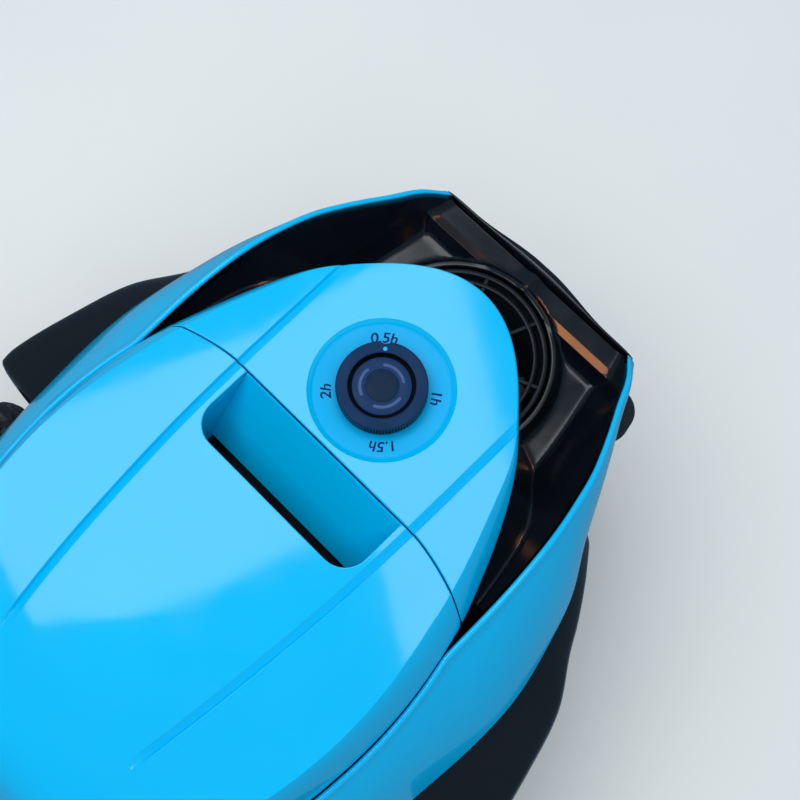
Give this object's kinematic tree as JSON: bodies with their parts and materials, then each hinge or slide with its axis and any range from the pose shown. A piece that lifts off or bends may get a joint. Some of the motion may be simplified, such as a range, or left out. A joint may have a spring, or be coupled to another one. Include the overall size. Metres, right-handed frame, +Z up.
{
  "type": "pool cleaner",
  "caption": "Cordless robotic pool cleaner: cyan hooded shell with hand grip, timer dial and push button over a black tub with wheels, brush, pump jet and filter basket.",
  "frame": {"origin": "on the ground, under the middle of the bounding box", "axes": "-Y towards the nose, +X the machine's left side, +Z up"},
  "size_m": [0.3602, 0.42, 0.2469],
  "materials": {
    "cyan_shell": "glossy injection-moulded cyan",
    "cyan_mark": "cyan moulded plastic",
    "black_gloss": "polished black moulding",
    "black_matt": "fine matt black moulding",
    "slate_knob": "matt slate blue, fine grain",
    "slate_button": "satin slate with turned face",
    "light_lens": "pale translucent light windows",
    "circuit_board": "solder mask green",
    "grey_plastic": "dark grey moulding",
    "slate_basket": "slate moulded basket",
    "filter_mesh": "woven fine mesh",
    "rubber": "soft black rubber",
    "brush_rubber": "cyan rubber blades",
    "tyre": "dark grey tread rubber",
    "steel": "stainless steel",
    "motor_can": "brushed can",
    "battery_wrap": "blue sleeved cells",
    "bronze": "sintered bronze bush"
  },
  "bodies": {
    "hull": {"front_cap": "cyan_shell", "grip_scoop": "cyan_shell", "lid_seal": "rubber", "lid_hinge_pin": "steel", "outer_shell": "cyan_shell", "inner_deck": "black_gloss", "rear_deck": "black_gloss", "front_bumper": "black_gloss", "rear_guard": "black_gloss", "button_sleeve": "black_gloss", "button_spring": "steel", "timer_switch": "black_matt", "control_board": "circuit_board", "control_tray": "black_matt", "outlet_guard": "black_gloss", "pump_motor": "motor_can", "motor_pod": "black_matt", "pump_duct": "black_matt", "shaft_seal": "rubber", "filter_well": "black_gloss", "filter_basket": "slate_basket", "filter_mesh": "filter_mesh", "flap_pin": "steel", "chassis_tub": "black_matt", "left_skirt": "black_gloss", "right_skirt": "black_gloss", "battery_box": "grey_plastic", "battery_box_cover": "grey_plastic", "battery_box_seal": "rubber", "battery_cells": "battery_wrap", "charge_socket": "grey_plastic", "left_drive_motor": "motor_can", "right_drive_motor": "motor_can", "left_axle_bearing": "bronze", "right_axle_bearing": "bronze", "guide_pins": "steel", "housing_screws": "steel"},
    "lid": {"top_lid": "cyan_shell", "lid_frame": "black_matt"},
    "dial": {"dial_knob": "slate_knob", "dial_mark": "cyan_mark"},
    "button": {"power_button": "slate_button", "button_lights": "light_lens"},
    "rotor": {"impeller": "grey_plastic", "pump_shaft": "steel"},
    "left_drive_wheel": {"left_rear_wheel": "grey_plastic", "left_rear_tyre": "tyre", "left_rear_axle": "steel"},
    "right_drive_wheel": {"right_rear_wheel": "grey_plastic", "right_rear_tyre": "tyre", "right_rear_axle": "steel"},
    "left_guide_wheel": {"left_front_wheel": "grey_plastic"},
    "right_guide_wheel": {"right_front_wheel": "grey_plastic"},
    "brush": {"brush_core": "grey_plastic", "brush_blades": "brush_rubber"},
    "left_roller": {"left_bumper_roller": "black_matt"},
    "right_roller": {"right_bumper_roller": "black_matt"},
    "bail": {"basket_handle": "cyan_mark"},
    "flap": {"intake_flap": "rubber"},
    "port_cap": {"charge_cap": "rubber"}
  },
  "joints": [
    {"name": "lid_hinge", "type": "hinge", "parent": "hull", "child": "lid", "pos_m": [0, 0.158, 0.203], "axis": [-1, 0, 0], "range_deg": [0, 80]},
    {"name": "timer_dial", "type": "hinge", "parent": "hull", "child": "dial", "pos_m": [0, -0.085, 0.242], "axis": [0, 0, -1], "range_deg": [0, 270]},
    {"name": "power_press", "type": "slide", "parent": "hull", "child": "button", "axis": [0, 0, -1], "range_m": [0, 0.0012], "stiffness_N_per_m": 400, "springref_m": -0.003},
    {"name": "impeller_spin", "type": "hinge", "parent": "hull", "child": "rotor", "pos_m": [0, -0.137, 0.13], "axis": [0, 0, 1], "continuous": true},
    {"name": "left_drive", "type": "hinge", "parent": "hull", "child": "left_drive_wheel", "pos_m": [0.16, 0.115, 0.075], "axis": [1, 0, 0], "continuous": true},
    {"name": "right_drive", "type": "hinge", "parent": "hull", "child": "right_drive_wheel", "pos_m": [-0.16, 0.115, 0.075], "axis": [1, 0, 0], "continuous": true},
    {"name": "left_guide", "type": "hinge", "parent": "hull", "child": "left_guide_wheel", "pos_m": [0.124, -0.042, 0.038], "axis": [1, 0, 0], "continuous": true},
    {"name": "right_guide", "type": "hinge", "parent": "hull", "child": "right_guide_wheel", "pos_m": [-0.124, -0.042, 0.038], "axis": [1, 0, 0], "continuous": true},
    {"name": "brush_spin", "type": "hinge", "parent": "hull", "child": "brush", "pos_m": [0, -0.172, 0.026], "axis": [1, 0, 0], "continuous": true},
    {"name": "left_roller_spin", "type": "hinge", "parent": "hull", "child": "left_roller", "pos_m": [0.073, -0.183, 0.132], "axis": [0, 0, 1], "continuous": true},
    {"name": "right_roller_spin", "type": "hinge", "parent": "hull", "child": "right_roller", "pos_m": [-0.073, -0.183, 0.132], "axis": [0, 0, 1], "continuous": true},
    {"name": "bail_fold", "type": "hinge", "parent": "hull", "child": "bail", "pos_m": [0, 0.0635, 0.202], "axis": [1, 0, 0], "range_deg": [0, 90]},
    {"name": "flap_swing", "type": "hinge", "parent": "hull", "child": "flap", "pos_m": [0, 0.0445, 0.0699], "axis": [1, 0, 0], "range_deg": [0, 70]},
    {"name": "port_cap_swing", "type": "hinge", "parent": "hull", "child": "port_cap", "pos_m": [0, 0.199, 0.113], "axis": [1, 0, 0], "range_deg": [0, 110]}
  ]
}
